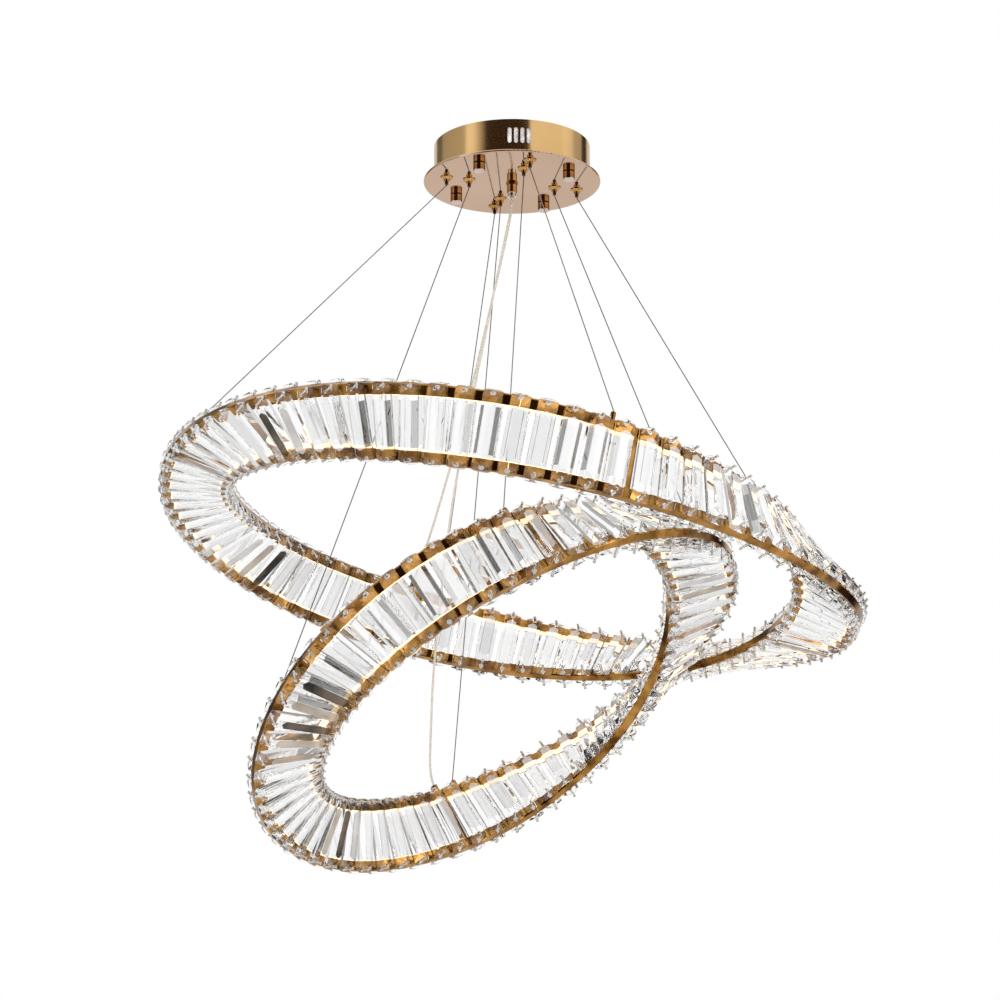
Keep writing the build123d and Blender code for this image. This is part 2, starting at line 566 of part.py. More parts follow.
for ring in RINGS:
    bar_angles = [(i + 0.5) * 360.0 / ring.bars for i in range(ring.bars)]
    post_angles = [360.0 / ring.bars + 90.0 * spoke for spoke in range(SPOKES)]

    # Rails: channels that face each other, each bent in pieces that meet end to end
    for rail_name, side in (("a", 1), ("b", -1)):
        with BuildPart() as rail:
            for segment in range(RAIL_SEGMENTS):
                for angle in segment_angles(ring, segment):
                    with BuildSketch(section_plane(ring, angle, side)):
                        with BuildLine():
                            Polyline(
                                (-RAIL_THICK / 2, -RAIL_WIDTH / 2),
                                (-RAIL_THICK / 2, RAIL_WIDTH / 2 - RAIL_CHAMFER),
                                (-RAIL_THICK / 2 + RAIL_CHAMFER, RAIL_WIDTH / 2),
                                (RAIL_THICK / 2 - RAIL_CHAMFER, RAIL_WIDTH / 2),
                                (RAIL_THICK / 2, RAIL_WIDTH / 2 - RAIL_CHAMFER),
                                (RAIL_THICK / 2, -RAIL_WIDTH / 2),
                                (RAIL_THICK / 2 - RAIL_WALL, -RAIL_WIDTH / 2),
                                (RAIL_THICK / 2 - RAIL_WALL, RAIL_WIDTH / 2 - RAIL_WALL),
                                (-RAIL_THICK / 2 + RAIL_WALL, RAIL_WIDTH / 2 - RAIL_WALL),
                                (-RAIL_THICK / 2 + RAIL_WALL, -RAIL_WIDTH / 2),
                                close=True,
                            )
                        make_face()
                loft(clean=False)
        hand_in(rail, f"{ring.name}_rail_{rail_name}")

        strip_width = RAIL_THICK - 2 * RAIL_WALL - 2 * STRIP_CLEAR
        strip_depth = RAIL_WIDTH - RAIL_WALL - STRIP_CLEAR + STRIP_PROUD
        strip_middle = -(STRIP_PROUD + RAIL_WALL + STRIP_CLEAR) / 2
        with BuildPart() as led_strip:
            for segment in range(RAIL_SEGMENTS):
                for angle in segment_angles(ring, segment):
                    with BuildSketch(section_plane(ring, angle, side)):
                        with Locations((0, strip_middle)):
                            Rectangle(strip_width, strip_depth)
                loft(clean=False)
        hand_in(led_strip, f"{ring.name}_led_strip_{rail_name}")

    # Posts that tie the two rails together, notched at their ends for the LED strips
    with BuildPart() as posts:
        post_reach = (RAIL_SPACING - RAIL_WIDTH) / 2
        for angle in post_angles:
            centre, travel, across, front = band_axes(ring, angle)
            post_middle = Plane(origin=centre, x_dir=front, z_dir=across)
            with BuildSketch(post_middle):
                Rectangle(RAIL_THICK, POST_LENGTH_ALONG)
            extrude(amount=post_reach, both=True)
            for end in (-1, 1):
                with BuildSketch(post_middle.offset(end * post_reach)):
                    Rectangle(RAIL_THICK - 2 * RAIL_WALL + 2 * STRIP_CLEAR, POST_LENGTH_ALONG)
                extrude(amount=-end * (STRIP_PROUD + STRIP_CLEAR), mode=Mode.SUBTRACT)
    hand_in(posts, f"{ring.name}_posts")

    # Crystal bars on the two faces of the band
    for face_name, side in (("front", 1), ("back", -1)):
        with BuildPart() as crystals:
            with Locations(*[face_plane(ring, angle, side) for angle in bar_angles]):
                add(crystal_bar.part, clean=False)
        hand_in(crystals, f"{ring.name}_crystals_{face_name}")

    # Pins: a shank in the rail's wall, a collar behind the bar, a neck through it and a small head
    standoff = bar_standoff(ring)
    with BuildPart() as pin:
        with BuildSketch(Plane.XZ):
            with BuildLine():
                Polyline(
                    (0, -standoff - PIN_BITE),
                    (PIN_SHANK, -standoff - PIN_BITE),
                    (PIN_SHANK, -standoff),
                    (PIN_COLLAR, -standoff),
                    (PIN_COLLAR, 0),
                    (PIN_NECK, 0),
                    (PIN_NECK, PIN_HEAD_LIFT),
                    (PIN_HEAD, PIN_HEAD_LIFT),
                    (0, PIN_HEAD_LIFT + PIN_HEAD_THICK),
                    close=True,
                )
            make_face()
        revolve(axis=Axis.Z)
    pin_places = [
        face_plane(ring, angle, side) * Pos(0, end * (RAIL_SPACING / 2 + PIN_OUTSET), 0)
        for side in (1, -1)
        for angle in bar_angles
        for end in (1, -1)
    ]
    with BuildPart() as pins:
        with Locations(*pin_places):
            add(pin.part, clean=False)
    hand_in(pins, f"{ring.name}_crystal_pins")

    # Anchors for the four wires
    with BuildPart() as anchors:
        with Locations(*[anchor_plane(ring, spoke) for spoke in range(SPOKES)]):
            add(anchor.part)
    hand_in(anchors, f"{ring.name}_wire_anchors")

    # Wires from the grippers' mouths to the anchors
    with BuildPart() as wires:
        for spoke, place in enumerate(grip_places(ring.grip_circle)):
            start = Vector(place[0], place[1], PLUNGER_BOTTOM - WIRE_GAP)
            end = anchor_plane(ring, spoke).offset(ANCHOR_HEIGHT + WIRE_GAP).origin
            with BuildSketch(Plane(origin=start, z_dir=end - start)):
                Circle(WIRE_RADIUS)
            extrude(amount=(end - start).length)
    hand_in(wires, f"{ring.name}_ring_wires")

    # Entry that takes the cord into rail B
    seat = entry_plane(ring)
    with BuildPart() as cord_entry:
        with BuildSketch(seat):
            Circle(ENTRY_RADIUS)
        extrude(amount=ENTRY_HEIGHT)
        with BuildSketch(seat.offset(ENTRY_HEIGHT)):
            Circle(CORD_RADIUS + RUN_CLEAR)
        extrude(amount=-CORD_HOLD, mode=Mode.SUBTRACT)
    hand_in(cord_entry, f"{ring.name}_cord_entry")

    # Free cord from the gland down to the entry
    row = 1 if ring is LARGE else -1
    hang = LARGE_CORD_ROUTE if ring is LARGE else SMALL_CORD_ROUTE
    gland_end = (0, row * CORD_SPACING / 2, GLAND_MOUTH - CORD_GAP)
    cord_route = [
        gland_end,
        (gland_end[0], gland_end[1], gland_end[2] - GLAND_DROP),
        *hang,
        tuple(seat.offset(ENTRY_HEIGHT + ENTRY_APPROACH).origin),
        tuple(seat.offset(ENTRY_HEIGHT - CORD_HOLD).origin),
    ]
    with BuildPart() as cord:
        with BuildLine() as cord_line:
            route_wire(cord_route)
        with BuildSketch(Plane(origin=cord_route[0], z_dir=(0, 0, -1))):
            Circle(CORD_RADIUS)
        sweep(path=cord_line.line)
    cord_length = cord_line.wire().length
    cord_volume = pi * CORD_RADIUS ** 2 * cord_length
    print(ring.name, "cord length", round(cord_length),
          "volume ratio", round(cord.part.volume / cord_volume, 4))
    hand_in(cord, f"{ring.name}_ring_cord")
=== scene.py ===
import json
import math

import bmesh
import bpy
import numpy as np
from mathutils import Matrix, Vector


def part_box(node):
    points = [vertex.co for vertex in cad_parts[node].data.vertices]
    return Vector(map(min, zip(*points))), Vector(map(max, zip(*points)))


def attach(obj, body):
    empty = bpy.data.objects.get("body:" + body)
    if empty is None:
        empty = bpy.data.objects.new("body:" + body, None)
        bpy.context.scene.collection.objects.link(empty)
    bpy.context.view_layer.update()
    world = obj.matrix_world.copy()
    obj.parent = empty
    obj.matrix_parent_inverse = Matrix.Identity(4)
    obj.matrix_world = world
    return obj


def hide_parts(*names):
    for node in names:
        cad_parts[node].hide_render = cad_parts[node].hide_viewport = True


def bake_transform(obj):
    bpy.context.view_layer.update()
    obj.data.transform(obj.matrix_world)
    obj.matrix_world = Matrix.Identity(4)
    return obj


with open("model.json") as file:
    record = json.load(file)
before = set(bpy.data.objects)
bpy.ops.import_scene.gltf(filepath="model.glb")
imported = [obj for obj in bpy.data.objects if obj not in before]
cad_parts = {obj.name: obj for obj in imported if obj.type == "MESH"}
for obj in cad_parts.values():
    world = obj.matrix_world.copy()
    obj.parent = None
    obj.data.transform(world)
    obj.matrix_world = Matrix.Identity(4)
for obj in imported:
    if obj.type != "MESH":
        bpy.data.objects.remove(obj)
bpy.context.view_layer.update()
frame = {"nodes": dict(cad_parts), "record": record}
nodes = frame["nodes"]
scene = bpy.context.scene

# Lengths are in metres and turns in degrees

# Wires
WIRE_RADIUS = 0.0006
MOUTH_GAP = 0.0003
ROD_SIDES = 12

# Cords
CORD_RADIUS = 0.0013
CORD_SPACING = 0.0029
CORD_GAP = 0.0006
GLAND_MOUTH = -0.0593
GLAND_DROP = 0.011
SPLINE_ORDER = 3
SPLINE_STEPS = 16
TUBE_ROUNDNESS = 4

# Control points of the two free cords below the gland
LARGE_CORD_ROUTE = [
    (-0.005, 0.020, -0.096),
    (-0.045, 0.147, -0.235),
    (-0.073, 0.222, -0.3195),
    (-0.099, 0.282, -0.3922),
    (-0.1156, 0.3308, -0.4224),
    (-0.1193, 0.3310, -0.4380),
]
SMALL_CORD_ROUTE = [
    (-0.006, 0.008, -0.096),
    (-0.041, 0.066, -0.257),
    (-0.062, 0.103, -0.3515),
    (-0.076, 0.133, -0.4382),
    (-0.091, 0.182, -0.5712),
    (-0.094, 0.208, -0.6432),
    (-0.0959, 0.2370, -0.6891),
    (-0.0887, 0.2336, -0.7030),
]

# Crystal bar
BAR_LENGTH = 0.083
BAR_WIDTH = 0.0202
BAR_THICK = 0.010
BAR_GIRDLE = 0.004
TABLE_WIDTH = 0.012
TABLE_TIP = 0.007
TABLE_SHOULDER = 0.0105
# Both ends of a table stay clear for this length
TABLE_MARGIN = 0.0065
# Width of the ground edges; those shorter than a long edge stay clear
BAR_EDGE = 0.0004
LONG_EDGE = 0.04
# Points of a CAD node that agree to these decimals are one
POINT_DECIMALS = 6

# Finishes of a bar's facets, and their places in the list of its materials
BAR_FINISHES = [
    "crystal_table",
    "crystal_pale",
    "crystal",
    "crystal_end",
    "crystal_girdle",
    "crystal_deep",
    "crystal_strip",
    "crystal_edge",
    # Finishes of tables painted with reflections
    "smoky_dark",
    "smoky_tan",
    "smoky_grey",
]
TABLE, PALE, CLEAR, END, GIRDLE, DEEP, STRIP, EDGE, DARK, TAN, GREY = range(len(BAR_FINISHES))

# Bars that face the front by this share have tables painted grey and sides and long edges painted
# dark, as painted reflections of dark surroundings
FRONT_FACING = 0.55

# Tables painted with reflections of the gilded rails and of dark surroundings: ring, face, turn about
# the ring's middle, finish
PAINTED_REFLECTION_BARS = [
    ("large", "front", -132.6, DARK),
    ("large", "front", -128.3, GREY),
    ("large", "front", 153.9, GREY),
    ("large", "front", 149.7, TAN),
    ("large", "front", 145.4, DARK),
    ("large", "front", 64.6, GREY),
    ("small", "front", -132.3, DARK),
    ("small", "front", -137.0, TAN),
    ("small", "front", -141.8, DARK),
    ("small", "front", -146.7, TAN),
    ("small", "front", 158.4, TAN),
    ("small", "front", 151.4, DARK),
    ("small", "front", 144.4, GREY),
    ("small", "back", 2.4, TAN),
    ("small", "back", -3.5, GREY),
]
RING_MIDDLES = {"large": (-0.002, 0.0), "small": (-0.016, 0.0)}

# Lining behind the canopy's vents
DRUM_INSIDE = 0.0881
LINING_THICK = 0.0005
LINING_AZIMUTH = -85.0
LINING_SPAN = 22.0
LINING_LOW = -0.0310
LINING_HIGH = -0.0070
LINING_STEPS = 24

# Noise: how much detail it has, and the stretch of it where one colour turns into another
SLOW_DETAIL = 3.0
FINE_DETAIL = 4.0
NOISE_STOPS = (0.3, 0.7)

# Metals: dark and light colour, range of roughness, and how fine the grain of their gloss is
METAL_PATCH = 9.0
BUMP_STRENGTH = 0.3
METALS = {
    "gold_drum": {
        "colours": [(0.78, 0.49, 0.20), (0.86, 0.56, 0.25)],
        "roughness": (0.10, 0.20),
        "grain": 40.0,
        "stretch": (1.0, 1.0, 60.0),
        "bump_height": 0.00002,
    },
    "rose_gold_mirror": {
        "colours": [(0.67, 0.45, 0.30), (0.73, 0.50, 0.35)],
        "roughness": (0.03, 0.09),
        "grain": 30.0,
    },
    "polished_gold": {
        "colours": [(0.48, 0.26, 0.08), (0.72, 0.44, 0.18)],
        "roughness": (0.05, 0.10),
        "grain": 80.0,
    },
    # Rails: the slow change from dark brown to gold is painted reflection of dark and bright
    # surroundings
    "rail_gold": {
        "colours": [(0.11, 0.042, 0.008), (0.64, 0.33, 0.085)],
        "roughness": (0.08, 0.18),
        "grain": 200.0,
        "patch": 45.0,
    },
    "pin_chrome": {
        "colours": [(0.60, 0.57, 0.53), (0.80, 0.78, 0.75)],
        "roughness": (0.2, 0.35),
        "grain": 300.0,
    },
    "steel_wire": {
        "colours": [(0.20, 0.20, 0.20), (0.30, 0.30, 0.30)],
        "roughness": (0.3, 0.45),
        "grain": 400.0,
    },
    "dark_bronze": {
        "colours": [(0.07, 0.04, 0.02), (0.14, 0.08, 0.04)],
        "roughness": (0.2, 0.35),
        "grain": 200.0,
    },
    "zinc": {
        "colours": [(0.55, 0.56, 0.58), (0.66, 0.67, 0.68)],
        "roughness": (0.3, 0.45),
        "grain": 120.0,
    },
}

# Nuts under the canopy: one node of each kind, and colours by the share of its height
NUT_ROUGHNESS = (0.06, 0.14)
NUT_GRAIN = 80.0
GLAND_SILVER = (0.80, 0.80, 0.82)
# Cap nut: a pale end, which is a painted reflection, and a dark band at its top where it meets the
# plate
CAP_END = (0.78, 0.64, 0.56)
CAP_SEAM = (0.12, 0.05, 0.02)
NUTS = {
    "gland_nut": {
        "node": "cord_gland_nut",
        "bands": [
            (0.0, GLAND_SILVER),
            (0.28, GLAND_SILVER),
            (0.30, (0.62, 0.36, 0.14)),
            (1.0, (0.74, 0.46, 0.20)),
        ],
    },
    # Cap nut: the browner lower side, the lighter upper side and the pale end are painted
    # reflections; the dark band at the top is where it meets the plate
    "cap_nut": {
        "node": "cap_nut_1",
        "bands": [
            (0.0, CAP_END),
            (0.10, CAP_END),
            (0.16, (0.42, 0.21, 0.08)),
            (0.50, (0.52, 0.28, 0.10)),
            (0.88, (0.60, 0.34, 0.13)),
            (0.94, CAP_SEAM),
            (1.0, CAP_SEAM),
        ],
    },
}

# Glass of the bars: tints that change from bar to bar, and the share of light that passes
CRYSTAL_IOR = 1.18
CLEAR_TINTS = [(0.0, (0.99, 0.99, 0.99)), (1.0, (1.0, 1.0, 1.0))]
CRYSTALS = {
    "crystal": {"tints": CLEAR_TINTS},
    # Grey tables of the bars that face the front, a painted reflection; the other bars have
    # crystal_pale
    "crystal_table": {
        "tints": [(0.0, (0.66, 0.66, 0.67)), (0.3, (0.80, 0.80, 0.81)), (1.0, (0.90, 0.90, 0.91))],
        "clearness": 0.5,
    },
    "crystal_pale": {
        "tints": [(0.0, (0.90, 0.90, 0.91)), (1.0, (1.0, 1.0, 1.0))],
        "clearness": 0.75,
    },
    "crystal_end": {"tints": CLEAR_TINTS, "clearness": 0.97},
    "crystal_girdle": {"tints": [(0.0, (0.84, 0.83, 0.82)), (1.0, (0.98, 0.98, 0.98))]},
    # Sides of the bars that face the front, painted dark as a reflection of dark surroundings; the
    # other bars have crystal_girdle there
    "crystal_deep": {"tints": [(0.0, (0.08, 0.075, 0.07)), (1.0, (0.40, 0.40, 0.40))]},
    # Strips beside the table: some bars have them painted dark, a painted reflection of dark
    # surroundings
    "crystal_strip": {
        "tints": [
            (0.0, (1.0, 1.0, 1.0)),
            (0.36, (0.95, 0.95, 0.95)),
            (0.44, (0.025, 0.023, 0.02)),
            (0.70, (0.16, 0.155, 0.15)),
            (1.0, (0.92, 0.92, 0.92)),
        ],
    },
    # Long ground edges of the bars that face the front, painted dark as a reflection
    "crystal_edge": {"tints": [(0.0, (0.16, 0.15, 0.14)), (1.0, (0.70, 0.70, 0.70))]},
}

# Tables painted with reflections of the rails and of dark surroundings: dark and light colour
PAINTED_REFLECTION_CLEARNESS = 0.25
PAINTED_REFLECTION_ROUGHNESS = 0.05
PAINTED_REFLECTION_SCALE = 30.0
PAINTED_REFLECTION_DETAIL = 1.0
PAINTED_REFLECTION_STOPS = (0.35, 0.65)
PAINTED_REFLECTIONS = {
    "smoky_dark": [(0.012, 0.010, 0.008), (0.11, 0.08, 0.055)],
    "smoky_tan": [(0.34, 0.28, 0.22), (0.54, 0.47, 0.39)],
    "smoky_grey": [(0.50, 0.48, 0.47), (0.66, 0.64, 0.63)],
}

# Light strips
LED_BASE = (1.0, 0.9, 0.7)
LED_GLOWS = [(1.0, 0.74, 0.40), (1.0, 0.88, 0.62)]
LED_STRENGTH = 1.05
LED_ROUGHNESS = 0.5
LED_RHYTHM = 60.0
LED_DETAIL = 2.0

# Plastics, foil and floor: dark and light colour, roughness
MOTTLE_SCALE = 120.0
MOTTLE_GLOSS = (0.8, 1.2)
PLASTICS = {
    "clear_cord": {
        "colours": [(0.80, 0.73, 0.62), (0.88, 0.82, 0.72)],
        "roughness": 0.15,
        "clearness": 0.5,
    },
    # Foil: the dark and light mottle is painted highlights and shade of crumples
    "foil": {"colours": [(0.30, 0.30, 0.32), (0.92, 0.92, 0.92)], "roughness": 0.3},
    "driver_white": {"colours": [(0.84, 0.84, 0.82), (0.9, 0.9, 0.88)], "roughness": 0.35},
    "terminal_white": {"colours": [(0.8, 0.8, 0.78), (0.86, 0.86, 0.84)], "roughness": 0.5},
    "floor": {"colours": [(0.86, 0.86, 0.86), (0.88, 0.88, 0.88)], "roughness": 0.7},
}

# Nodes whose finish isn't that of their slot, by the start of their names
OWN_FINISHES = {
    "cap_nut": "cap_nut",
    "cord_gland_nut": "gland_nut",
    "gripper_plunger": "dark_bronze",
}

# Camera of the photograph
CAMERA_PLACE = (-0.0137, -3.2241, -1.2627)
CAMERA_PITCH = 14.7
CAMERA_REACH = 100.0
FOCAL_PIXELS = 3000.0
IMAGE_PIXELS = 1000.0
SENSOR_MM = 36.0

# Studio
AMBIENT = 0.82
FLOOR_Z = -3.0
FLOOR_SIZE = 60.0
WALL_DISTANCE = 5.0
WALL_LOW = FLOOR_Z
WALL_HIGH = 3.6
WALL_SIDES = 96

# Soft lamps: place, the point that they look at, size and power in watts
LAMPS = {
    "key": {"place": (-2.2, -2.6, 1.6), "aim": (0.0, 0.0, -0.45), "size": 2.2, "power": 40.0},
    "fill": {"place": (2.6, -2.0, 0.6), "aim": (0.0, 0.0, -0.45), "size": 2.0, "power": 24.0},
    "bounce": {"place": (0.6, -1.6, -1.6), "aim": (0.0, 0.0, -0.5), "size": 2.4, "power": 14.0},
}

# How bright the studio's wall looks in polished metal, by the turn from the camera's side
WALL_LEVELS = [
    (-180.0, 0.75),
    (-148.0, 0.75),
    (-144.0, 0.16),
    (-126.0, 0.16),
    (-122.0, 0.40),
    (-73.0, 0.50),
    (-70.0, 1.0),
    (-58.0, 0.95),
    (-38.0, 0.05),
    (25.0, 0.04),
    (27.0, 0.92),
    (42.0, 0.88),
    (76.0, 0.85),
    (84.0, 0.95),
    (98.0, 0.80),
    (104.0, 0.50),
    (122.0, 0.45),
    (126.0, 0.05),
    (140.0, 0.05),
    (146.0, 0.70),
    (180.0, 0.75),
]
# Stretches darker than this are a warm brown
WARM_BELOW = 0.1
WARM_TINT = (0.80, 0.48, 0.44)
NO_TINT = (1.0, 1.0, 1.0)


def add_object(name, data):
    """Put a new object into the scene."""
    obj = bpy.data.objects.new(name, data)
    scene.collection.objects.link(obj)
    return obj


def mesh_object(name, vertices, faces):
    """An object made of corner points and faces."""
    mesh = bpy.data.meshes.new(name)
    mesh.from_pydata(vertices, [], faces)
    return add_object(name, mesh)


def dress(obj, material):
    """Give an object one material."""
    obj.data.materials.clear()
    obj.data.materials.append(material)


def make_camera():
    """Camera below the light, looking slightly up."""
    data = bpy.data.cameras.new("photo_camera")
    data.sensor_width = SENSOR_MM
    data.lens = SENSOR_MM * FOCAL_PIXELS / IMAGE_PIXELS
    data.clip_end = CAMERA_REACH
    camera = add_object("photo_camera", data)
    camera.location = CAMERA_PLACE
    camera.rotation_euler = (math.radians(90.0 + CAMERA_PITCH), 0.0, 0.0)
    scene.camera = camera


def new_material(name):
    """A material with its node tree and its shader."""
    material = bpy.data.materials.new(name)
    material.use_nodes = True
    shader = material.node_tree.nodes["Principled BSDF"]
    return material, material.node_tree, shader


def noise(tree, scale, detail, stretch=None):
    """Noise on object coordinates, stretched if asked."""
    coords = tree.nodes.new("ShaderNodeTexCoord")
    texture = tree.nodes.new("ShaderNodeTexNoise")
    texture.inputs["Scale"].default_value = scale
    texture.inputs["Detail"].default_value = detail
    source = coords.outputs["Object"]
    if stretch is not None:
        mapping = tree.nodes.new("ShaderNodeMapping")
        mapping.inputs["Scale"].default_value = stretch
        tree.links.new(source, mapping.inputs["Vector"])
        source = mapping.outputs["Vector"]
    tree.links.new(source, texture.inputs["Vector"])
    return texture.outputs["Fac"]


def ramp(tree, source, stops):
    """Colour ramp over a source, stops as (position, colour)."""
    node = tree.nodes.new("ShaderNodeValToRGB")
    elements = node.color_ramp.elements
    while len(elements) < len(stops):
        elements.new(0.5)
    for element, (position, colour) in zip(elements, stops):
        element.position = position
        element.color = (*colour, 1.0)
    tree.links.new(source, node.inputs["Fac"])
    return node.outputs["Color"]


def two_tone(tree, source, colours, stops=NOISE_STOPS):
    """Change from one colour to another over a noise."""
    return ramp(tree, source, list(zip(stops, colours)))


def spread(tree, source, low, high):
    """Map a 0 to 1 source to a range."""
    node = tree.nodes.new("ShaderNodeMapRange")
    node.inputs["To Min"].default_value = low
    node.inputs["To Max"].default_value = high
    tree.links.new(source, node.inputs["Value"])
    return node.outputs["Result"]


def bump(tree, shader, source, height):
    """Bump from a height source."""
    node = tree.nodes.new("ShaderNodeBump")
    node.inputs["Strength"].default_value = BUMP_STRENGTH
    node.inputs["Distance"].default_value = height
    tree.links.new(source, node.inputs["Height"])
    tree.links.new(node.outputs["Normal"], shader.inputs["Normal"])


def metal(name, colours, roughness, grain, patch=METAL_PATCH, stretch=None, bump_height=0.0):
    """Metal with slow colour change and a fine grain in its gloss."""
    material, tree, shader = new_material(name)
    shader.inputs["Metallic"].default_value = 1.0
    slow = noise(tree, patch, SLOW_DETAIL)
    tree.links.new(two_tone(tree, slow, colours), shader.inputs["Base Color"])
    fine = noise(tree, grain, FINE_DETAIL, stretch)
    tree.links.new(spread(tree, fine, *roughness), shader.inputs["Roughness"])
    if bump_height:
        bump(tree, shader, fine, bump_height)
    return material


def banded_metal(name, node, bands):
    """Polished metal whose colour changes in bands over a node's height."""
    low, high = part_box(node)
    material, tree, shader = new_material(name)
    shader.inputs["Metallic"].default_value = 1.0
    coords = tree.nodes.new("ShaderNodeTexCoord")
    place = tree.nodes.new("ShaderNodeSeparateXYZ")
    tree.links.new(coords.outputs["Object"], place.inputs["Vector"])
    share = tree.nodes.new("ShaderNodeMapRange")
    share.inputs["From Min"].default_value = low[2]
    share.inputs["From Max"].default_value = high[2]
    tree.links.new(place.outputs["Z"], share.inputs["Value"])
    tree.links.new(ramp(tree, share.outputs["Result"], bands), shader.inputs["Base Color"])
    fine = noise(tree, NUT_GRAIN, FINE_DETAIL)
    tree.links.new(spread(tree, fine, *NUT_ROUGHNESS), shader.inputs["Roughness"])
    return material


def crystal_material(name, tints, clearness=1.0):
    """Cut glass; each bar differs a little."""
    material, tree, shader = new_material(name)
    shader.inputs["Roughness"].default_value = 0.0
    shader.inputs["IOR"].default_value = CRYSTAL_IOR
    shader.inputs["Transmission Weight"].default_value = clearness
    geometry = tree.nodes.new("ShaderNodeNewGeometry")
    tint = ramp(tree, geometry.outputs["Random Per Island"], tints)
    tree.links.new(tint, shader.inputs["Base Color"])
    return material


def painted_reflection_material(name, colours):
    """Table of a bar painted with reflections of the gilded rails and of dark surroundings; it shows
    little of what is behind it.
    """
    material, tree, shader = new_material(name)
    shader.inputs["Roughness"].default_value = PAINTED_REFLECTION_ROUGHNESS
    shader.inputs["IOR"].default_value = CRYSTAL_IOR
    shader.inputs["Transmission Weight"].default_value = PAINTED_REFLECTION_CLEARNESS
    cloud = noise(tree, PAINTED_REFLECTION_SCALE, PAINTED_REFLECTION_DETAIL)
    tree.links.new(two_tone(tree, cloud, colours, PAINTED_REFLECTION_STOPS), shader.inputs["Base Color"])
    return material


def led_material(name):
    """Lit silicone with the faint rhythm of the diodes under it."""
    material, tree, shader = new_material(name)
    shader.inputs["Base Color"].default_value = (*LED_BASE, 1.0)
    shader.inputs["Roughness"].default_value = LED_ROUGHNESS
    glow = noise(tree, LED_RHYTHM, LED_DETAIL)
    tree.links.new(two_tone(tree, glow, LED_GLOWS), shader.inputs["Emission Color"])
    shader.inputs["Emission Strength"].default_value = LED_STRENGTH
    return material


def plastic(name, colours, roughness, clearness=0.0):
    """Plastic, foil or paint with a mottle."""
    material, tree, shader = new_material(name)
    shader.inputs["Transmission Weight"].default_value = clearness
    mottle = noise(tree, MOTTLE_SCALE, SLOW_DETAIL)
    tree.links.new(two_tone(tree, mottle, colours), shader.inputs["Base Color"])
    low, high = [roughness * share for share in MOTTLE_GLOSS]
    tree.links.new(spread(tree, mottle, low, high), shader.inputs["Roughness"])
    return material


def make_materials():
    """All the materials, by name."""
    made = {"led_strip": led_material("led_strip")}
    for name, finish in METALS.items():
        made[name] = metal(name, **finish)
    for name, finish in NUTS.items():
        made[name] = banded_metal(name, **finish)
    for name, finish in CRYSTALS.items():
        made[name] = crystal_material(name, **finish)
    for name, colours in PAINTED_REFLECTIONS.items():
        made[name] = painted_reflection_material(name, colours)
    for name, finish in PLASTICS.items():
        made[name] = plastic(name, **finish)
    return made


def dress_nodes():
    """Finish of each CAD node: that of its slot, or its own."""
    slots = {part["node"]: part["material_slot"] for part in frame["record"]["subparts"]}
    for name, obj in nodes.items():
        finish = slots[name]
        for start, own in OWN_FINISHES.items():
            if name.startswith(start):
                finish = own
        dress(obj, materials[finish])


def spline_object(name, points, radius):
    """A NURBS line with the route's points as its control points."""
    data = bpy.data.curves.new(name, "CURVE")
    data.dimensions = "3D"
    data.resolution_u = SPLINE_STEPS
    data.bevel_depth = radius
    data.bevel_resolution = TUBE_ROUNDNESS
    data.use_fill_caps = radius > 0
    spline = data.splines.new("NURBS")
    spline.points.add(len(points) - 1)
    for control, point in zip(spline.points, points):
        control.co = (*point, 1.0)
    spline.order_u = SPLINE_ORDER
    spline.use_endpoint_u = True
    return add_object(name, data)


def tube(name, points, radius, material):
    """A mesh tube along the route's spline, and the points that it follows."""
    line = spline_object(name + "_line", points, 0.0)
    solid = spline_object(name + "_solid", points, radius)
    bpy.context.view_layer.update()
    graph = bpy.context.evaluated_depsgraph_get()
    line_mesh = bpy.data.meshes.new_from_object(line.evaluated_get(graph))
    path = [tuple(vertex.co) for vertex in line_mesh.vertices]
    mesh = bpy.data.meshes.new_from_object(solid.evaluated_get(graph))
    mesh.name = name
    for helper in (line, solid):
        bpy.data.objects.remove(helper)
    for polygon in mesh.polygons:
        polygon.use_smooth = True
    obj = add_object(name, mesh)
    dress(obj, material)
    return obj, path


def make_cord(ring, side, route):
    """A free cord from the gland down to a ring's entry."""
    x, y = 0.0, side * CORD_SPACING / 2
    leave = GLAND_MOUTH - CORD_GAP
    points = [(x, y, leave), (x, y, leave - GLAND_DROP), *route]
    cord, path = tube(f"{ring}_cord", points, CORD_RADIUS, materials["clear_cord"])
    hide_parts(f"{ring}_ring_cord")
    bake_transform(cord)


def rod(name, start, end, radius, material):
    """A straight round rod with points only at its ends, so that it stays straight when blended."""
    run = (end - start).normalized()
    side = run.orthogonal().normalized()
    other = run.cross(side)
    vertices = []
    for middle in (start, end):
        for index in range(ROD_SIDES):
            turn = 2 * math.pi * index / ROD_SIDES
            vertices.append(middle + radius * (math.cos(turn) * side + math.sin(turn) * other))
    faces = []
    for index in range(ROD_SIDES):
        after = (index + 1) % ROD_SIDES
        faces.append((index, after, ROD_SIDES + after, ROD_SIDES + index))
    faces.append(tuple(reversed(range(ROD_SIDES))))
    faces.append(tuple(range(ROD_SIDES, 2 * ROD_SIDES)))
    obj = mesh_object(name, vertices, faces)
    dress(obj, material)
    return obj


def rounded(point):
    """A point as a key that equal points share."""
    return tuple(round(value, POINT_DECIMALS) for value in point)


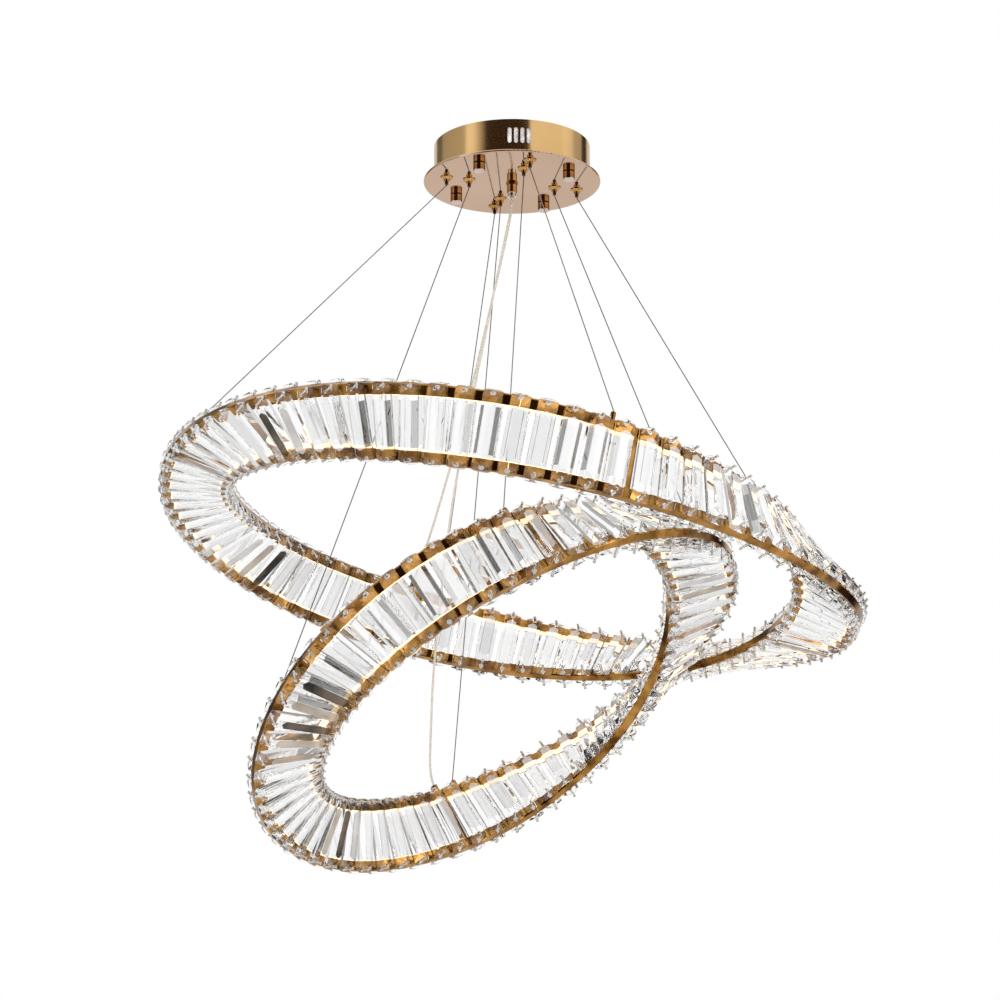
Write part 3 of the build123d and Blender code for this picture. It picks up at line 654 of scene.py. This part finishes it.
def solid_groups(node):
    """Points of each separate solid of a node."""
    mesh = nodes[node].data
    links = {}
    for vertex in mesh.vertices:
        key = rounded(vertex.co)
        links.setdefault(key, key)

    def root(key):
        while links[key] != key:
            links[key] = links[links[key]]
            key = links[key]
        return key

    for edge in mesh.edges:
        one, two = [rounded(mesh.vertices[index].co) for index in edge.vertices]
        links[root(one)] = root(two)
    groups = {}
    for key in links:
        groups.setdefault(root(key), []).append(Vector(key))
    return list(groups.values())


def make_wires(ring):
    """Four taut wires that stretch between the canopy and a ring."""
    for number, points in enumerate(solid_groups(f"{ring}_ring_wires"), start=1):
        high = max(point.z for point in points)
        low = min(point.z for point in points)
        middle = (high + low) / 2
        upper = [point for point in points if point.z > middle]
        lower = [point for point in points if point.z <= middle]
        top = sum(upper, Vector()) / len(upper)
        bottom = sum(lower, Vector()) / len(lower)
        run = (bottom - top).normalized()
        start = top - run * MOUTH_GAP
        end = bottom + run * WIRE_RADIUS
        wire = rod(f"{ring}_wire_{number}", start, end, WIRE_RADIUS, materials["steel_wire"])
        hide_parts(f"{ring}_ring_wires")
        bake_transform(wire)


def bar_shape():
    """Corners of one crystal bar, and its facets with the finish of each."""
    half_width = BAR_WIDTH / 2
    half_length = BAR_LENGTH / 2
    shoulder_x = TABLE_WIDTH / 2
    shoulder_y = half_length - TABLE_SHOULDER
    tip_y = half_length - TABLE_TIP
    inner_y = shoulder_y - TABLE_MARGIN
    # An end facet falls by these slopes along the bar and across it
    fall_y = (BAR_THICK - BAR_GIRDLE) / TABLE_TIP
    fall_x = (TABLE_SHOULDER - TABLE_TIP) * fall_y / shoulder_x
    edge_y = half_length - fall_x * half_width / fall_y
    back_x = BAR_GIRDLE / fall_x
    back_y = half_length + (BAR_GIRDLE - fall_x * half_width) / fall_y
    corners = {}
    for end in (-1, 1):
        corners["foot", end] = (0.0, end * half_length, BAR_GIRDLE)
        corners["tip", end] = (0.0, end * tip_y, BAR_THICK)
        corners["inner tip", end] = (0.0, end * (tip_y - TABLE_MARGIN), BAR_THICK)
        for side in (-1, 1):
            corners["shoulder", side, end] = (side * shoulder_x, end * shoulder_y, BAR_THICK)
            corners["inner", side, end] = (side * shoulder_x, end * inner_y, BAR_THICK)
            corners["edge", side, end] = (side * half_width, end * edge_y, BAR_GIRDLE)
            corners["inner edge", side, end] = (side * half_width, end * inner_y, BAR_GIRDLE)
            corners["side", side, end] = (side * half_width, end * back_y, 0.0)
            corners["corner", side, end] = (side * back_x, end * half_length, 0.0)
    facets = [
        (TABLE, [("inner tip", 1), ("inner", -1, 1), ("inner", -1, -1),
                 ("inner tip", -1), ("inner", 1, -1), ("inner", 1, 1)]),
        (CLEAR, [("corner", 1, 1), ("side", 1, 1), ("side", 1, -1), ("corner", 1, -1),
                 ("corner", -1, -1), ("side", -1, -1), ("side", -1, 1), ("corner", -1, 1)]),
    ]
    for side in (-1, 1):
        facets.append((STRIP, [("inner", side, 1), ("inner", side, -1),
                               ("inner edge", side, -1), ("inner edge", side, 1)]))
        facets.append((DEEP, [("edge", side, 1), ("inner edge", side, 1), ("inner edge", side, -1),
                              ("edge", side, -1), ("side", side, -1), ("side", side, 1)]))
        for end in (-1, 1):
            facets.append((CLEAR, [("shoulder", side, end), ("inner", side, end),
                                   ("inner edge", side, end), ("edge", side, end)]))
            facets.append((END, [("foot", end), ("tip", end), ("shoulder", side, end),
                                 ("edge", side, end), ("side", side, end), ("corner", side, end)]))
            facets.append((CLEAR, [("tip", end), ("inner tip", end),
                                   ("inner", side, end), ("shoulder", side, end)]))
    for end in (-1, 1):
        facets.append((GIRDLE, [("corner", -1, end), ("corner", 1, end), ("foot", end)]))
    return corners, facets


def main_axes(cloud):
    """Axes of a cloud of points, from its thinnest to its longest way."""
    return np.linalg.eigh(np.cov((cloud - cloud.mean(axis=0)).T))[1].T


def bar_axes(points):
    """Middle of a bar's back and its axes: across, along and out through the table."""
    cloud = np.array(points)
    middle = cloud.mean(axis=0)
    length_axis = main_axes(cloud)[2]
    table_reach = BAR_LENGTH / 2 - TABLE_TIP + BAR_EDGE
    table = cloud[np.abs((cloud - middle) @ length_axis) < table_reach]
    out, across, along = main_axes(table)
    table_middle = table.mean(axis=0)
    if (table_middle - middle) @ out < 0:
        out = -out
    return Vector(table_middle - BAR_THICK * out), Vector(across), Vector(along), Vector(out)


def turn_about(ring, point):
    """Turn of a point about a ring's middle, in degrees."""
    x, y = RING_MIDDLES[ring]
    return math.degrees(math.atan2(point.y - y, point.x - x))


def bar_finishes(ring, face, bars):
    """Finishes that each bar has in place of those of the bar's shape."""
    turns = [turn_about(ring, origin + BAR_THICK * out) for origin, _, _, out in bars]
    finishes = []
    for origin, _, _, out in bars:
        # Bars that face the front keep grey tables and dark sides, which are painted reflections; the
        # others take pale tables and light sides
        front = -out.y > FRONT_FACING
        own = {} if front else {TABLE: PALE, DEEP: GIRDLE}
        # Only front bars on the near half of their ring keep the strips beside the table, which are
        # painted with dark reflections
        if origin.y > RING_MIDDLES[ring][1] or not front:
            own[STRIP] = CLEAR
        finishes.append(own)
    # The listed tables take a finish painted with reflections in place of their own
    for painted_ring, painted_face, turn, finish in PAINTED_REFLECTION_BARS:
        if (painted_ring, painted_face) == (ring, face):
            nearest = min(range(len(turns)), key=lambda bar: abs(turns[bar] - turn))
            finishes[nearest][TABLE] = finish
    return finishes


def make_bars(ring, face):
    """The cut crystal bars on one face of a ring, with fine ground edges."""
    node = f"{ring}_crystals_{face}"
    corners, facets = bar_shape()
    bars = [bar_axes(points) for points in solid_groups(node)]
    shape = bmesh.new()
    dark_edged = shape.faces.layers.int.new("dark_edged")
    for (origin, across, along, out), own in zip(bars, bar_finishes(ring, face, bars)):
        made = {
            key: shape.verts.new(origin + x * across + y * along + z * out)
            for key, (x, y, z) in corners.items()
        }
        for finish, keys in facets:
            facet = shape.faces.new([made[key] for key in keys])
            facet.material_index = own.get(finish, finish)
            facet[dark_edged] = DEEP not in own
    bmesh.ops.recalc_face_normals(shape, faces=shape.faces)
    bmesh.ops.bevel(
        shape, geom=shape.edges[:], offset=BAR_EDGE, segments=1, affect="EDGES", material=EDGE
    )
    # Only the long edges of the front bars are painted dark, a painted reflection; the others are as
    # clear as the facets
    for facet in shape.faces:
        if facet.material_index == EDGE:
            longest = max(edge.calc_length() for edge in facet.edges)
            if longest < LONG_EDGE or not facet[dark_edged]:
                facet.material_index = CLEAR
    mesh = bpy.data.meshes.new(node + "_cut")
    shape.to_mesh(mesh)
    shape.free()
    cut = add_object(node + "_cut", mesh)
    for finish in BAR_FINISHES:
        mesh.materials.append(materials[finish])
    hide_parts(node)
    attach(cut, f"{ring}_ring")


def make_lining():
    """Bright foil against the drum's inside, which shows through the vents; its dark and light mottle
    is painted highlights and shade of crumples.
    """
    vertices = []
    for step in range(LINING_STEPS + 1):
        turn = math.radians(LINING_AZIMUTH + LINING_SPAN * (step / LINING_STEPS - 0.5))
        for radius in (DRUM_INSIDE, DRUM_INSIDE - LINING_THICK):
            for height in (LINING_LOW, LINING_HIGH):
                vertices.append((radius * math.cos(turn), radius * math.sin(turn), height))
    # Each step has four corners: low and high outside, then low and high inside
    faces = [(0, 1, 3, 2)]
    for step in range(LINING_STEPS):
        here = 4 * step
        after = here + 4
        for one, two in ((0, 1), (1, 3), (3, 2), (2, 0)):
            faces.append((here + one, here + two, after + two, after + one))
    last = 4 * LINING_STEPS
    faces.append((last, last + 2, last + 3, last + 1))
    lining = mesh_object("vent_lining", vertices, faces)
    dress(lining, materials["foil"])
    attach(lining, "canopy")


def make_world():
    """White surroundings that shine less on matt surfaces than they show."""
    world = bpy.data.worlds.new("studio")
    scene.world = world
    world.use_nodes = True
    tree = world.node_tree
    background = tree.nodes["Background"]
    background.inputs["Color"].default_value = (1.0, 1.0, 1.0, 1.0)
    rays = tree.nodes.new("ShaderNodeLightPath")
    seen = rays.outputs["Is Camera Ray"]
    for kind in ("Is Glossy Ray", "Is Transmission Ray"):
        either = tree.nodes.new("ShaderNodeMath")
        either.operation = "MAXIMUM"
        tree.links.new(seen, either.inputs[0])
        tree.links.new(rays.outputs[kind], either.inputs[1])
        seen = either.outputs["Value"]
    tree.links.new(spread(tree, seen, AMBIENT, 1.0), background.inputs["Strength"])


def make_lamp(name, place, aim, size, power):
    """A square soft lamp that looks at a point, and is itself seen neither directly nor in metal."""
    data = bpy.data.lights.new(name, "AREA")
    data.size = size
    data.energy = power
    lamp = add_object(name, data)
    lamp.location = place
    lamp.visible_camera = False
    lamp.visible_glossy = False
    lamp.rotation_euler = (Vector(aim) - Vector(place)).to_track_quat("-Z", "Y").to_euler()


def make_floor():
    """Pale floor well below the light."""
    half = FLOOR_SIZE / 2
    corners = [(-half, -half), (half, -half), (half, half), (-half, half)]
    floor = mesh_object("floor", [(x, y, FLOOR_Z) for x, y in corners], [(0, 1, 2, 3)])
    dress(floor, materials["floor"])


def wall_material():
    """Glow that changes with the turn about the studio's middle."""
    material, tree, shader = new_material("studio_wall")
    shader.inputs["Base Color"].default_value = (0.0, 0.0, 0.0, 1.0)
    shader.inputs["Specular IOR Level"].default_value = 0.0
    coords = tree.nodes.new("ShaderNodeTexCoord")
    mapping = tree.nodes.new("ShaderNodeMapping")
    mapping.inputs["Rotation"].default_value = (0.0, 0.0, math.radians(90.0))
    tree.links.new(coords.outputs["Object"], mapping.inputs["Vector"])
    gradient = tree.nodes.new("ShaderNodeTexGradient")
    gradient.gradient_type = "RADIAL"
    tree.links.new(mapping.outputs["Vector"], gradient.inputs["Vector"])
    stops = []
    for turn, level in WALL_LEVELS:
        tint = WARM_TINT if level < WARM_BELOW else NO_TINT
        stops.append(((turn + 180.0) / 360.0, tuple(level * share for share in tint)))
    tree.links.new(ramp(tree, gradient.outputs["Fac"], stops), shader.inputs["Emission Color"])
    shader.inputs["Emission Strength"].default_value = 1.0
    return material


def make_wall():
    """Round studio wall with soft bright and dark stretches, which only polished metal shows."""
    vertices = []
    for index in range(WALL_SIDES):
        turn = 2 * math.pi * index / WALL_SIDES
        for height in (WALL_LOW, WALL_HIGH):
            vertices.append((WALL_DISTANCE * math.sin(turn), -WALL_DISTANCE * math.cos(turn), height))
    faces = []
    for index in range(WALL_SIDES):
        after = (index + 1) % WALL_SIDES
        faces.append((2 * index, 2 * after, 2 * after + 1, 2 * index + 1))
    wall = mesh_object("studio_wall", vertices, faces)
    dress(wall, wall_material())
    wall.visible_camera = False
    wall.visible_diffuse = False
    wall.visible_transmission = False
    wall.visible_shadow = False


make_camera()
scene.view_settings.view_transform = "Standard"
materials = make_materials()
dress_nodes()
make_cord("large", 1, LARGE_CORD_ROUTE)
make_cord("small", -1, SMALL_CORD_ROUTE)
for ring in ("large", "small"):
    make_wires(ring)
    for face in ("front", "back"):
        make_bars(ring, face)
make_lining()

make_world()
make_floor()
for lamp_name, lamp_values in LAMPS.items():
    make_lamp(lamp_name, **lamp_values)
make_wall()
